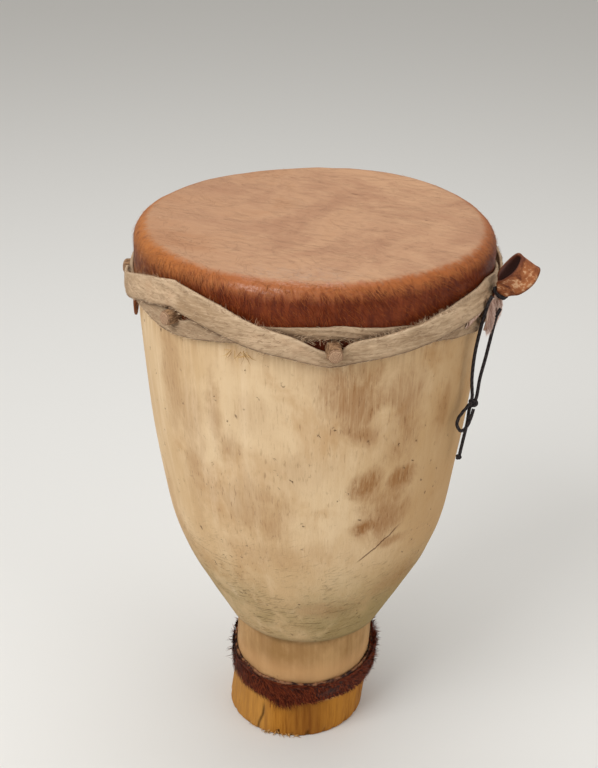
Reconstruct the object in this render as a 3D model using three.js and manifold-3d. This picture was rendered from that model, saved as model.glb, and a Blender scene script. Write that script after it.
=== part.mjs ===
// A goblet drum: one hollow wooden shell, a hide laced on with a strap that weaves under and over
// seven pegs, a hide carrying loop with a doubled tie cord, and a band of fur round the foot.
import * as THREE from 'three';
import { mergeVertices } from 'three/addons/utils/BufferGeometryUtils.js';
import Module from 'manifold-3d';

const wasm = await Module();
wasm.setup();

// Driving dimensions: millimetres and degrees. The front faces -Y, and an azimuth grows towards +X.
const HEAD_AXIS = new THREE.Vector2(-7.1, 5.3); // the head's axis, from the middle of the footprint
const GAP = 0.3; // air between two pieces that touch
const ROUND_STEPS = 48; // facets round the shell and the hide

const RIM_HEIGHT = 518;
const RIM_ROUND = 12; // radius of the mouth's outer edge
const BOWL_RADIUS = 154.5; // at the mouth
const MOUTH_RADIUS = 139;
const FOOT_RADIUS = 68;
const NECK_HEIGHT = 108; // where the neck meets the bowl
const BORE_RADIUS = 41; // the sound hole through the neck and the foot
const FOOT_LEAN = 9.9; // how far the foot stands off to the left of the bowl
const FOOT_LEAN_FADE = 55; // height over which that lean dies away
const BOWL_OFFSET = 2.8; // how far the bowl's axis lies to the left of the head's
const HEAD_SLOPE = 0.0087; // the head dips this much per millimetre to the right
const RIM_HUMP = { azimuth: 150, rise: 4.8 }; // the rim was left a little high at the back right

const HIDE_THICKNESS = 2.5;
const HIDE_GAP = 0.6; // air between the wood and the hide
const HIDE_EDGE = 474; // height of the skirt's lower edge between two pegs
const SKIRT_PULL = 10; // how far below a peg the skirt's edge is pulled
const EAR = { azimuth: -91, drop: 36, halfWidth: 4.5 }; // a tongue of hide that hangs at the left

const PEG_RADIUS = 6.3;
const PEG_ROOT = 144; // distance of a peg's inner end from the axis
const PEGS = [ // in the order the strap meets them
  { azimuth: 63, height: 468, reach: 171 },
  { azimuth: 6, height: 471, reach: 178 },
  { azimuth: -44, height: 477, reach: 172 },
  { azimuth: -97, height: 466, reach: 172 },
  { azimuth: -149, height: 471, reach: 176 },
  { azimuth: -198, height: 469, reach: 174 },
  { azimuth: -247, height: 472, reach: 175 },
];

const STRAP_THICKNESS = 2.6;
const STRAP_WIDTH = 22;
const STRAP_BUNCHED = 9.5; // its width where the inner turn is gathered above a peg
const STRAP_STEPS = 112; // over two full turns
const UNDER_DROP = 16.5; // from a peg down to the strap's lower edge below it
const UNDER_TOP = 4; // from a peg up to the strap's upper edge beside it
const OVER_RISE = 8; // from a peg up to the strap's lower edge above it
const STRAP_LEAD = 5; // degrees of strap before the first peg
const STRAP_TAIL = 22; // degrees that the strap stops short of two turns
const LAYER = STRAP_THICKNESS + 2.5 * GAP; // how far the outer turn stands off over the inner one
const DRAPE = 8; // height over which the outer turn settles back onto the hide

const LOOP = { azimuth: 66, radius: 170, height: 483, rise: 49, twist: 25, width: 20, slide: 3, thickness: 3 };
const LOOP_REACH = 27; // from the waist to the middle of the round end
const LOOP_HALF_DEPTH = 13;
const TAIL_PLATE = { azimuth: 63, inner: 165.2, thickness: 4, top: 479.5, bottom: 450 };

const BAND = { low: 46, high: 68, rise: 12, inner: 68.1, outer: 73 };

const CORD_RADIUS = 1.5;
const CORD_ARC_STEPS = 4; // per half turn, so the cord has eight sides
const KNOT = [138.6, -78, 383.2];
const KNOT_RADII = [4.2, 3.6, 4.2];
const END_KNOT = [129.6, -77, 329];
const END_KNOT_RADII = [2.6, 2.4, 2.4];
const CORD_LEFT = [ // from the loop's waist down to the knot
  [146.6, -84.4, 486], [142.6, -88, 477], [139.4, -85.6, 458.5],
  [136.5, -82, 432.7], [135.8, -80, 408.2], [137.4, -78.4, 388],
];
const CORD_RIGHT = [
  [155.2, -79.5, 472.5], [152.4, -79.6, 466], [150.4, -79.2, 454.7],
  [146.4, -79, 428.7], [142.9, -78, 407.4], [141, -77.4, 387.6],
];
const CORD_BOW = [ // out of the knot and back into it
  [134.2, -80, 381.5], [130, -84, 378], [126, -87, 373.1], [124.9, -88, 366.8],
  [128.7, -88, 361], [133.8, -86.4, 364.9], [137.4, -82.6, 372.6], [139.2, -79.6, 378.4],
];
const CORD_TAIL = [
  [136.6, -76, 379], [134.9, -76.6, 362.1], [132.5, -77, 346.1], [130.4, -77, 331.9],
];

const LOOKS = {
  wood: { color: 0xccad81, roughness: 0.75 },
  pegWood: { color: 0x8f7350, roughness: 0.8 },
  headHide: { color: 0xb98a63, roughness: 0.65 },
  strapHide: { color: 0xa5917c, roughness: 0.9 },
  loopHide: { color: 0x8b5a3a, roughness: 0.7 },
  fur: { color: 0x341410, roughness: 0.85 },
  cord: { color: 0x272024, roughness: 0.7 },
};

const UP = new THREE.Vector3(0, 0, 1);
const radians = THREE.MathUtils.degToRad;
const { lerp, smoothstep } = THREE.MathUtils;

function outward(azimuth) {
  const angle = radians(azimuth);
  return new THREE.Vector3(Math.sin(angle), -Math.cos(angle), 0);
}

function sideways(azimuth) {
  const angle = radians(azimuth);
  return new THREE.Vector3(Math.cos(angle), Math.sin(angle), 0);
}

function spot(azimuth, radius, height) {
  return outward(azimuth).multiplyScalar(radius).addScaledVector(UP, height);
}

const point = (radius, height) => new THREE.Vector2(radius, height);

// Outlines of the carved shell, as radius and height
const bowlOutside = new THREE.SplineCurve([
  point(71, 114), point(85, 140), point(100.5, 170), point(119.4, 210),
  point(133.5, 260), point(146.5, 360), point(154, 460), point(BOWL_RADIUS, RIM_HEIGHT - RIM_ROUND),
]).getPoints(12);

const bowlInside = new THREE.SplineCurve([
  point(MOUTH_RADIUS, RIM_HEIGHT), point(139, 460), point(131.5, 360), point(117.5, 260),
  point(101, 208), point(80, 166), point(58, 138), point(BORE_RADIUS, 112),
]).getPoints(8);

function roundedEdge(radius) {
  const [x, y] = [BOWL_RADIUS - RIM_ROUND, RIM_HEIGHT - RIM_ROUND];
  return new THREE.EllipseCurve(x, y, radius, radius, 0, Math.PI / 2).getPoints(3);
}

// Distance from the axis to the shell's outside, or to a skin that lies over it
function wallRadius(height, offset = 0) {
  const arcTop = height - (RIM_HEIGHT - RIM_ROUND);
  if (arcTop > 0) {
    const arcRadius = RIM_ROUND + offset;
    return BOWL_RADIUS - RIM_ROUND + Math.sqrt(Math.max(0, arcRadius ** 2 - arcTop ** 2));
  }
  const above = bowlOutside.findIndex((p) => p.y >= height);
  const low = bowlOutside[above - 1];
  const high = bowlOutside[above];
  return lerp(low.x, high.x, (height - low.y) / (high.y - low.y)) + offset;
}

// Merges shared corners, drops triangles that have no area, and makes the faces point outward
function closedSkin(geometry) {
  geometry.deleteAttribute('normal');
  geometry.deleteAttribute('uv');
  const merged = mergeVertices(geometry, 1e-4);
  const position = merged.attributes.position;
  const corners = [];
  const [a, b, c] = [new THREE.Vector3(), new THREE.Vector3(), new THREE.Vector3()];
  let volume = 0;
  for (let i = 0; i < merged.index.count; i += 3) {
    const triangle = [0, 1, 2].map((k) => merged.index.getX(i + k));
    if (new Set(triangle).size < 3) {
      continue;
    }
    a.fromBufferAttribute(position, triangle[0]);
    b.fromBufferAttribute(position, triangle[1]);
    c.fromBufferAttribute(position, triangle[2]);
    volume += a.dot(b.cross(c));
    corners.push(triangle);
  }
  merged.setIndex(corners.flatMap(([p, q, r]) => (volume < 0 ? [p, r, q] : [p, q, r])));
  return merged;
}

function toManifold(geometry) {
  const skin = closedSkin(geometry);
  return new wasm.Manifold(new wasm.Mesh({
    numProp: 3,
    vertProperties: new Float32Array(skin.attributes.position.array),
    triVerts: new Uint32Array(skin.index.array),
  }));
}

function toGeometry(manifold) {
  const mesh = manifold.getMesh();
  const geometry = new THREE.BufferGeometry();
  geometry.setAttribute('position', new THREE.BufferAttribute(mesh.vertProperties, 3));
  geometry.setIndex(new THREE.BufferAttribute(mesh.triVerts, 1));
  return geometry;
}

function cut(geometry, tools) {
  return toGeometry(tools.reduce((body, tool) => body.subtract(toManifold(tool)), toManifold(geometry)));
}

function join(geometries) {
  return toGeometry(geometries.map(toManifold).reduce((body, other) => body.add(other)));
}

// Turns an outline round the Z axis, with azimuth 0 at the front
function turned(outline, steps) {
  return closedSkin(new THREE.LatheGeometry(outline, steps).rotateX(Math.PI / 2));
}

// Moves every vertex of a geometry
function reshape(geometry, move) {
  const position = geometry.attributes.position;
  const vertex = new THREE.Vector3();
  for (let i = 0; i < position.count; i += 1) {
    vertex.fromBufferAttribute(position, i);
    move(vertex);
    position.setXYZ(i, vertex.x, vertex.y, vertex.z);
  }
  return geometry;
}

// The log was carved by eye: the foot stands to the left, and the head dips a little to the right
function carvedByEye(geometry) {
  return reshape(geometry, (p) => {
    const headShare = smoothstep(p.z, 430, 505);
    const lean = (BOWL_OFFSET + FOOT_LEAN * Math.exp(-p.z / FOOT_LEAN_FADE)) * (1 - headShare);
    const towardsHump = Math.max(0, outward(RIM_HUMP.azimuth).dot(p) / BOWL_RADIUS);
    p.z += (RIM_HUMP.rise * towardsHump ** 5 - HEAD_SLOPE * p.x) * headShare;
    p.x -= lean;
  });
}

const azimuthOf = (p) => THREE.MathUtils.radToDeg(Math.atan2(p.x, -p.y));

// Difference between two azimuths, between -180 and 180
const turnBetween = (a, b) => THREE.MathUtils.euclideanModulo(a - b + 180, 360) - 180;

const bell = (x, width) => Math.exp(-((x / width) ** 2));

function pegShaft(peg, radius, start, end, sides, tip) {
  const outline = [point(0, 0), point(radius, 0), point(radius, end - start - tip)];
  if (tip > 0) {
    outline.push(point(radius * 0.8, end - start));
  }
  outline.push(point(0, end - start));
  const shaft = closedSkin(new THREE.LatheGeometry(outline, sides));
  const turn = new THREE.Quaternion().setFromUnitVectors(new THREE.Vector3(0, 1, 0), outward(peg.azimuth));
  return shaft.applyQuaternion(turn).translate(...spot(peg.azimuth, start, peg.height));
}

const pegBody = (peg) => pegShaft(peg, PEG_RADIUS, PEG_ROOT, peg.reach, 10, 2.5);

// The way a peg is driven in, with room round the peg
const pegHole = (peg) => pegShaft(peg, PEG_RADIUS + 1.2 * GAP, PEG_ROOT - GAP, peg.reach + 10, 12, 0);

function shellGeometry() {
  const outline = [
    point(BORE_RADIUS + 2, 0),
    point(FOOT_RADIUS - 2, 0),
    point(FOOT_RADIUS, 2.5),
    point(FOOT_RADIUS - 0.5, 35),
    point(FOOT_RADIUS - 1, NECK_HEIGHT),
    ...bowlOutside,
    ...roundedEdge(RIM_ROUND).slice(1),
    ...bowlInside,
    point(BORE_RADIUS, 12),
    point(BORE_RADIUS + 2, 0),
  ];
  return cut(turned(outline, ROUND_STEPS), PEGS.map(pegHole));
}

// Height of the skirt's lower edge: pulled down at each peg, with one longer ear at the left
function skirtEdge(azimuth) {
  const pull = PEGS.reduce((sum, peg) => {
    const depth = HIDE_EDGE - (peg.height - SKIRT_PULL);
    return sum + depth * bell(turnBetween(azimuth, peg.azimuth), 9);
  }, 0);
  return HIDE_EDGE - pull - EAR.drop * bell(turnBetween(azimuth, EAR.azimuth), EAR.halfWidth);
}

function hideGeometry() {
  const shoulder = RIM_HEIGHT - RIM_ROUND;
  const rows = [shoulder, lerp(shoulder, HIDE_EDGE, 0.35), lerp(shoulder, HIDE_EDGE, 0.7), HIDE_EDGE];
  const side = (offset) => rows.map((height) => point(wallRadius(height, offset), height));
  const skin = (offset) => [
    point(0, RIM_HEIGHT + offset),
    ...roundedEdge(RIM_ROUND + offset).reverse(),
    ...side(offset).slice(1),
  ];
  const outline = [...skin(HIDE_GAP + HIDE_THICKNESS), ...skin(HIDE_GAP).reverse()];
  const hide = reshape(turned(outline, ROUND_STEPS), (p) => {
    if (p.z >= shoulder) {
      return;
    }
    const azimuth = azimuthOf(p);
    const offset = Math.hypot(p.x, p.y) - wallRadius(p.z);
    const height = shoulder - (shoulder - p.z) * (shoulder - skirtEdge(azimuth)) / (shoulder - HIDE_EDGE);
    p.copy(spot(azimuth, wallRadius(height) + offset, height));
  });
  return cut(hide, PEGS.map(pegHole));
}

// Where the strap is at each peg that it meets, over its two turns
const STATIONS = Array.from({ length: 2 * PEGS.length + 1 }, (_, k) => {
  const peg = PEGS[k % PEGS.length];
  const under = k % 2 === 0;
  const overWidth = k < PEGS.length ? STRAP_BUNCHED : STRAP_WIDTH;
  return {
    azimuth: peg.azimuth - 360 * Math.floor(k / PEGS.length),
    low: peg.height + (under ? -UNDER_DROP : OVER_RISE),
    high: peg.height + (under ? UNDER_TOP : OVER_RISE + overWidth),
  };
});

// The strap's lower and upper edges at an azimuth that runs on from turn to turn
function strapEdges(azimuth) {
  const last = STATIONS.length - 1;
  const next = Math.min(last, Math.max(1, STATIONS.findIndex((s) => s.azimuth < azimuth)));
  const to = STATIONS[azimuth <= STATIONS[last].azimuth ? last : next];
  const from = STATIONS[STATIONS.indexOf(to) - 1];
  const share = THREE.MathUtils.clamp((from.azimuth - azimuth) / (from.azimuth - to.azimuth), 0, 1);
  const eased = 0.65 * share + 0.35 * smoothstep(share, 0, 1);
  return { low: lerp(from.low, to.low, eased), high: lerp(from.high, to.high, eased) };
}

// How far the strap stands off the hide: the outer turn is lifted wherever it lies over the inner one
function strapLift(azimuth, height) {
  const inner = strapEdges(Math.min(azimuth + 360, STATIONS[0].azimuth));
  const beyond = Math.max(inner.low - height, height - inner.high, 0);
  const onInner = 1 - smoothstep(beyond, 0.35 * DRAPE, 2.2 * DRAPE);
  const outerTurn = smoothstep(STATIONS[0].azimuth - azimuth, 335, 365);
  return LAYER * onInner * outerTurn;
}

function strapGeometry() {
  const start = STATIONS[0].azimuth + STRAP_LEAD;
  const sweep = 720 - STRAP_LEAD - STRAP_TAIL;
  const strip = new THREE.BoxGeometry(1, 1, 1, STRAP_STEPS, 2, 1);
  reshape(strip, (p) => {
    const azimuth = start - (p.x + 0.5) * sweep;
    const edges = strapEdges(azimuth);
    const height = lerp(edges.low, edges.high, p.y + 0.5);
    const rest = wallRadius(height, HIDE_GAP + HIDE_THICKNESS + 2 * GAP);
    p.copy(spot(azimuth, rest + strapLift(azimuth, height) + (p.z + 0.5) * STRAP_THICKNESS, height));
  });
  return cut(strip, PEGS.map(pegHole));
}

// The loop stands out and up from the drum: x along its length, y across its mouth, z across the strip
function loopFrame() {
  const rise = radians(LOOP.rise);
  const along = outward(LOOP.azimuth).multiplyScalar(Math.cos(rise)).addScaledVector(UP, Math.sin(rise));
  const across = sideways(LOOP.azimuth);
  const frame = new THREE.Matrix4().makeBasis(along, across, along.clone().cross(across));
  frame.multiply(new THREE.Matrix4().makeRotationX(radians(LOOP.twist)));
  return frame.setPosition(spot(LOOP.azimuth, LOOP.radius, LOOP.height));
}

function teardrop(path, tip, tipHalf, half) {
  path.moveTo(tip, -tipHalf);
  path.bezierCurveTo(tip + 9, -tipHalf - 2, LOOP_REACH - 10, -half, LOOP_REACH, -half);
  path.absarc(LOOP_REACH, 0, half, -Math.PI / 2, Math.PI / 2, false);
  path.bezierCurveTo(LOOP_REACH - 10, half, tip + 9, tipHalf + 2, tip, tipHalf);
  path.closePath();
  return path;
}

function ellipse(path, a, b) {
  path.absellipse(0, 0, a, b, 0, 2 * Math.PI, false, 0);
  return path;
}

// A strip's cross section, turned so that it runs along the loop from one place to another
function sleeve(shape, from, to) {
  const solid = new THREE.ExtrudeGeometry(shape, { depth: to - from, bevelEnabled: false, curveSegments: 5 });
  return solid.rotateY(Math.PI / 2).translate(from, 0, 0).applyMatrix4(loopFrame());
}

const WAIST = { across: 4, strip: 6, from: -5, to: 8 };

function loopGeometry() {
  const outline = teardrop(new THREE.Shape(), 3, 3.6, LOOP_HALF_DEPTH);
  outline.holes.push(teardrop(new THREE.Path(), 9, 0.8, LOOP_HALF_DEPTH - LOOP.thickness));
  const ring = new THREE.ExtrudeGeometry(outline, {
    depth: LOOP.width, bevelEnabled: false, curveSegments: 6,
  });
  ring.translate(0, 0, LOOP.slide - LOOP.width / 2).applyMatrix4(loopFrame());

  const waist = sleeve(ellipse(new THREE.Shape(), WAIST.strip, WAIST.across), WAIST.from, WAIST.to);

  const tails = new THREE.Shape();
  tails.moveTo(-8, TAIL_PLATE.top);
  tails.lineTo(-10, TAIL_PLATE.top - 10);
  tails.quadraticCurveTo(-9, TAIL_PLATE.bottom + 4, -4, TAIL_PLATE.bottom);
  tails.lineTo(5, TAIL_PLATE.bottom + 3);
  tails.quadraticCurveTo(10, TAIL_PLATE.bottom + 10, 10, TAIL_PLATE.top - 10);
  tails.lineTo(9, TAIL_PLATE.top);
  tails.closePath();
  const plate = new THREE.ExtrudeGeometry(tails, {
    depth: TAIL_PLATE.thickness, bevelEnabled: false, curveSegments: 4,
  });
  const facing = new THREE.Matrix4().makeBasis(sideways(TAIL_PLATE.azimuth), UP, outward(TAIL_PLATE.azimuth));
  plate.applyMatrix4(facing.setPosition(spot(TAIL_PLATE.azimuth, TAIL_PLATE.inner, 0)));

  return cut(join([ring, waist, plate]), [pegHole(PEGS[0])]);
}

// The turns of the tie cord round the loop's waist
function bindingGeometry() {
  const build = GAP + 2 * CORD_RADIUS;
  const turns = ellipse(new THREE.Shape(), WAIST.strip + build, WAIST.across + build);
  turns.holes.push(ellipse(new THREE.Path(), WAIST.strip + GAP, WAIST.across + GAP));
  return sleeve(turns, -0.6, 2.6);
}

function bandGeometry() {
  const outline = [
    point(BAND.inner, BAND.low), point(BAND.outer - 2, BAND.low - 1.5), point(BAND.outer, BAND.low + 6),
    point(BAND.outer - 0.5, BAND.high - 6), point(BAND.outer - 2.5, BAND.high),
    point(BAND.inner, BAND.high - 1), point(BAND.inner, BAND.low),
  ];
  return reshape(turned(outline, 40), (p) => {
    p.z += BAND.rise * (1 - Math.cos(radians(azimuthOf(p)))) / 2;
  });
}

function cordGeometry(route, steps) {
  const section = new THREE.Shape();
  section.absarc(0, 0, CORD_RADIUS, 0, 2 * Math.PI, false);
  const path = new THREE.CatmullRomCurve3(route.map((p) => new THREE.Vector3(...p)));
  return new THREE.ExtrudeGeometry(section, {
    steps, curveSegments: CORD_ARC_STEPS, bevelEnabled: false, extrudePath: path,
  });
}

function knotGeometry(middle, radii) {
  return new THREE.SphereGeometry(1, 8, 6).scale(...radii).translate(...middle);
}

const drum = new THREE.Group();
drum.position.set(HEAD_AXIS.x, HEAD_AXIS.y, 0);

function add(name, geometry, look) {
  const skin = closedSkin(geometry);
  skin.computeVertexNormals();
  const mesh = new THREE.Mesh(skin, new THREE.MeshStandardMaterial({ metalness: 0, ...look }));
  mesh.name = name;
  drum.add(mesh);
}

add('drum_shell', carvedByEye(shellGeometry()), LOOKS.wood);
add('drumhead_hide', carvedByEye(hideGeometry()), LOOKS.headHide);
add('lacing_strap', carvedByEye(strapGeometry()), LOOKS.strapHide);
PEGS.forEach((peg, i) => add(`peg_${i + 1}`, carvedByEye(pegBody(peg)), LOOKS.pegWood));
add('carrying_loop', carvedByEye(loopGeometry()), LOOKS.loopHide);
add('foot_fur_band', carvedByEye(bandGeometry()), LOOKS.fur);
add('tie_cord_binding', carvedByEye(bindingGeometry()), LOOKS.cord);
add('tie_cord_left', cordGeometry(CORD_LEFT, 16), LOOKS.cord);
add('tie_cord_right', cordGeometry(CORD_RIGHT, 14), LOOKS.cord);
add('tie_cord_knot', knotGeometry(KNOT, KNOT_RADII), LOOKS.cord);
add('tie_cord_bow', cordGeometry(CORD_BOW, 16), LOOKS.cord);
add('tie_cord_tail', cordGeometry(CORD_TAIL, 8), LOOKS.cord);
add('tie_cord_end_knot', knotGeometry(END_KNOT, END_KNOT_RADII), LOOKS.cord);

export default drum;
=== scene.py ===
# %% [markdown]
# A carved goblet drum, dressed in Blender. The solids that come with the frame give every piece its
# size and place. This lesson lays wood grain, raw hide, hair, lacing and cord over them, one piece at
# a time, and hides each plain solid once its dressed piece stands in its place.

# %% Load the measured frame
import math
import bpy
import numpy as np
from mathutils import Matrix, Vector, noise


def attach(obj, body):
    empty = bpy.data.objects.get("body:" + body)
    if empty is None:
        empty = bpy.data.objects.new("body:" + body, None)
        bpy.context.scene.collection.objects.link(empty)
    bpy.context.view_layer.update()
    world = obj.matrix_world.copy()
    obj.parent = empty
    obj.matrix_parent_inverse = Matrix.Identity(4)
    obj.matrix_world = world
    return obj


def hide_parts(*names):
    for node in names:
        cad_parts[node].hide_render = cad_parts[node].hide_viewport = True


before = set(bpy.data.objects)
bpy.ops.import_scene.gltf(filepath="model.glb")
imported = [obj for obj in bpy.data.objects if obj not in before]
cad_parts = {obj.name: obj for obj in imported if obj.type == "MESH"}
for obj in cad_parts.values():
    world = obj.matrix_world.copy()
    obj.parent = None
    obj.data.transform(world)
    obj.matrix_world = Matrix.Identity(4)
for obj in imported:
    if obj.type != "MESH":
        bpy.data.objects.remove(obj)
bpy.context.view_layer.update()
print("solids in the frame:", len(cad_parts))

# %% [markdown]
# The drum was laid out on paper in millimetres, from the middle of its head, so the script keeps those
# numbers and turns them into metres in one place. The log was carved by eye: its foot stands a little to
# the left, its head dips to the right and its rim is high at the back. `in_frame` bends every piece so.

# %% The drum's own measures
MM = 0.001
HEAD_AXIS = (-7.1, 5.3)
RIM_HEIGHT = 518.0
RIM_ROUND = 12.0
BOWL_RADIUS = 154.5
MOUTH_RADIUS = 139.0
FOOT_RADIUS = 68.0
BORE_RADIUS = 41.0
FOOT_LEAN = 9.9
FOOT_LEAN_FADE = 55.0
BOWL_OFFSET = 2.8
HEAD_SLOPE = 0.0087
HUMP_AZIMUTH = 150.0
HUMP_RISE = 4.8
SHOULDER = RIM_HEIGHT - RIM_ROUND
UP = np.array([0.0, 0.0, 1.0])


def ease(value, low, high):
    """0 below low, 1 above high, and a smooth step between."""
    share = np.clip((np.asarray(value, float) - low) / (high - low), 0, 1)
    return share * share * (3 - 2 * share)


def bell(value, width):
    return np.exp(-((np.asarray(value, float) / width) ** 2))


def turn_between(a, b):
    """The angle from b to a in degrees, between -180 and 180."""
    return (np.asarray(a, float) - b + 180) % 360 - 180


def around(azimuth, radius, height):
    """Points from an azimuth in degrees (0 at the front), a radius and a height."""
    angle = np.radians(np.asarray(azimuth, float))
    x, y, z = np.broadcast_arrays(radius * np.sin(angle), -radius * np.cos(angle), height)
    return np.stack([x, y, z], -1).astype(float)


def in_frame(points):
    """Millimetres round the head's axis to metres in the frame, with the carver's lean."""
    x, y, z = np.moveaxis(np.asarray(points, float), -1, 0)
    head = ease(z, 430, 505)
    lean = (BOWL_OFFSET + FOOT_LEAN * np.exp(-z / FOOT_LEAN_FADE)) * (1 - head)
    hump = np.radians(HUMP_AZIMUTH)
    towards_hump = np.clip((x * np.sin(hump) - y * np.cos(hump)) / BOWL_RADIUS, 0, None)
    uneven = (HUMP_RISE * towards_hump**5 - HEAD_SLOPE * x) * head
    return np.stack([x - lean + HEAD_AXIS[0], y + HEAD_AXIS[1], z + uneven], -1) * MM


print("head axis in the frame:", in_frame([[0, 0, RIM_HEIGHT]])[0])

# %% [markdown]
# The camera comes first, so that every later piece can be judged in the photograph's own view. A lens of
# about 61 mm stands a little over a metre away, at about the height of a person's waist, looking down.

# %% Camera
PHOTO_HEIGHT = 768
FOCAL_PIXELS = 1300
CAMERA_BACK = 1078
CAMERA_HEIGHT = 894
LOOK_DOWN = math.radians(26.33)
ROLL = math.radians(0.9)
SIDE_PIXELS = 13.8

camera = bpy.data.objects.new("photo_camera", bpy.data.cameras.new("photo_camera"))
camera.data.sensor_fit = "VERTICAL"
camera.data.sensor_height = 36
camera.data.lens = FOCAL_PIXELS / PHOTO_HEIGHT * camera.data.sensor_height
camera.data.shift_x = -SIDE_PIXELS / PHOTO_HEIGHT
camera.data.clip_end = 100
stand = Vector((HEAD_AXIS[0], HEAD_AXIS[1] - CAMERA_BACK, CAMERA_HEIGHT)) * MM
aim = Matrix.Rotation(math.pi / 2 - LOOK_DOWN, 4, "X") @ Matrix.Rotation(ROLL, 4, "Z")
camera.matrix_world = Matrix.Translation(stand) @ aim
bpy.context.scene.collection.objects.link(camera)
bpy.context.scene.camera = camera
print("lens:", round(camera.data.lens, 1), "mm")

# %% [markdown]
# Finishes are node trees. Written as plain sums they are far easier to read, so `Reading` wraps one output
# of a node and lets Python's own operators add the Math nodes. Every other node comes from
# `Finish.node`, which takes the node's type, its settings, and the values or links of its inputs.

# %% Shader sums as Python sums


class Reading:
    """One output of a node, ready to be added, multiplied or linked."""

    def __init__(self, finish, socket):
        self.finish = finish
        self.socket = socket

    def __add__(self, other):
        return self.finish.maths("ADD", self, other)

    def __sub__(self, other):
        return self.finish.maths("SUBTRACT", self, other)

    def __rsub__(self, other):
        return self.finish.maths("SUBTRACT", other, self)

    def __mul__(self, other):
        return self.finish.maths("MULTIPLY", self, other)

    def __truediv__(self, other):
        return self.finish.maths("DIVIDE", self, other)

    __radd__ = __add__
    __rmul__ = __mul__


def tone(red, green, blue):
    """A colour as the eye reads it on a screen, 0 to 255, turned into the light it reflects."""
    parts = [c / 255 for c in (red, green, blue)]
    return tuple(c / 12.92 if c <= 0.04045 else ((c + 0.055) / 1.055) ** 2.4 for c in parts) + (1.0,)


class Finish:
    """One material and the nodes that paint it."""

    def __init__(self, name, roughness=0.7, specular=0.3):
        self.material = bpy.data.materials.new(name)
        self.material.use_nodes = True
        self.tree = self.material.node_tree
        self.shader = self.tree.nodes["Principled BSDF"]
        self.shader.inputs["Roughness"].default_value = roughness
        self.shader.inputs["Specular IOR Level"].default_value = specular
        self.place = self.node("ShaderNodeTexCoord", output="Object")

    def node(self, kind, settings=None, inputs=None, output=0):
        made = self.tree.nodes.new(kind)
        for key, value in (settings or {}).items():
            setattr(made, key, value)
        for key, value in (inputs or {}).items():
            self.feed(made.inputs[key], value)
        return Reading(self, made.outputs[output])

    def feed(self, socket, value):
        if isinstance(value, Reading):
            self.tree.links.new(value.socket, socket)
        else:
            socket.default_value = value

    def maths(self, operation, a, b=0.0):
        return self.node("ShaderNodeMath", {"operation": operation}, {0: a, 1: b})

    def mix(self, a, b, share):
        return self.node("ShaderNodeMix", {"data_type": "RGBA"}, {0: share, 6: a, 7: b}, output=2)

    def stretched(self, along_x, along_y, along_z, place=None):
        """The place on the piece, in units that are finer along some axes than others."""
        inputs = {0: place or self.place, 1: (along_x, along_y, along_z)}
        return self.node("ShaderNodeVectorMath", {"operation": "MULTIPLY"}, inputs)

    def turned(self, axis, angle):
        """The place on the piece, turned about one axis."""
        inputs = {"Vector": self.place, "Angle": angle}
        return self.node("ShaderNodeVectorRotate", {"rotation_type": axis + "_AXIS"}, inputs)

    def cloud(self, place, scale=1.0, detail=3.0, rough=0.55, warp=0.0):
        inputs = {"Vector": place, "Scale": scale, "Detail": detail, "Roughness": rough, "Distortion": warp}
        return self.node("ShaderNodeTexNoise", inputs=inputs)

    def step(self, value, low, high):
        inputs = {"Value": value, "From Min": low, "From Max": high}
        return self.node("ShaderNodeMapRange", {"interpolation_type": "SMOOTHSTEP"}, inputs)

    def axis(self, letter):
        return self.node("ShaderNodeSeparateXYZ", inputs={0: self.place}, output=letter)

    def attribute(self, name):
        return self.node("ShaderNodeAttribute", {"attribute_name": name}, output="Fac")

    def paint(self, colour, roughness=None, height=None, depth=0.001):
        self.feed(self.shader.inputs["Base Color"], colour)
        if roughness is not None:
            self.feed(self.shader.inputs["Roughness"], roughness)
        if height is not None:
            bump = self.node("ShaderNodeBump", inputs={"Distance": depth, "Height": height})
            self.feed(self.shader.inputs["Normal"], bump)
        return self


print("shader helpers ready")

# %% [markdown]
# Every dressed piece is a mesh made from arrays of points. `dress` builds it, shades it smooth, sets its
# finish, and hides the solid that it stands for. `woven` gives the quads over a grid of points, and
# `tube` closes the two ends of a grid that runs round. `rough` gives the uneven surface of handwork.

# %% Mesh helpers


def woven(rows, cols, wrap_rows=False, wrap_cols=False):
    steps_down = np.arange(rows if wrap_rows else rows - 1)
    steps_across = np.arange(cols if wrap_cols else cols - 1)
    row, col = np.meshgrid(steps_down, steps_across, indexing="ij")
    below = (row + 1) % rows
    beside = (col + 1) % cols
    quads = [row * cols + col, row * cols + beside, below * cols + beside, below * cols + col]
    return np.stack(quads, -1).reshape(-1, 4).tolist()


def tube(rows, cols, flip=False):
    """Faces over rows of points that each run round, with the first and the last row filled in."""
    first = list(range(cols))
    last = list(range((rows - 1) * cols, rows * cols))
    ends = [first, last[::-1]] if flip else [first[::-1], last]
    return woven(rows, cols, wrap_cols=True) + ends


def dress(name, points, faces, finish, stands_for=(), shades=None):
    mesh = bpy.data.meshes.new(name)
    mesh.from_pydata(np.reshape(points, (-1, 3)).tolist(), [], faces)
    mesh.update()
    for key, values in (shades or {}).items():
        layer = mesh.attributes.new(key, "FLOAT", "POINT")
        layer.data.foreach_set("value", np.ravel(values).astype(np.float32))
    mesh.polygons.foreach_set("use_smooth", [True] * len(mesh.polygons))
    piece = bpy.data.objects.new(name, mesh)
    bpy.context.scene.collection.objects.link(piece)
    piece.data.materials.append(finish.material)
    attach(piece, "root")
    if stands_for:
        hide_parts(*stands_for)
    print(name, len(mesh.vertices), "points", sum(len(p.vertices) - 2 for p in mesh.polygons), "triangles")
    return piece


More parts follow.
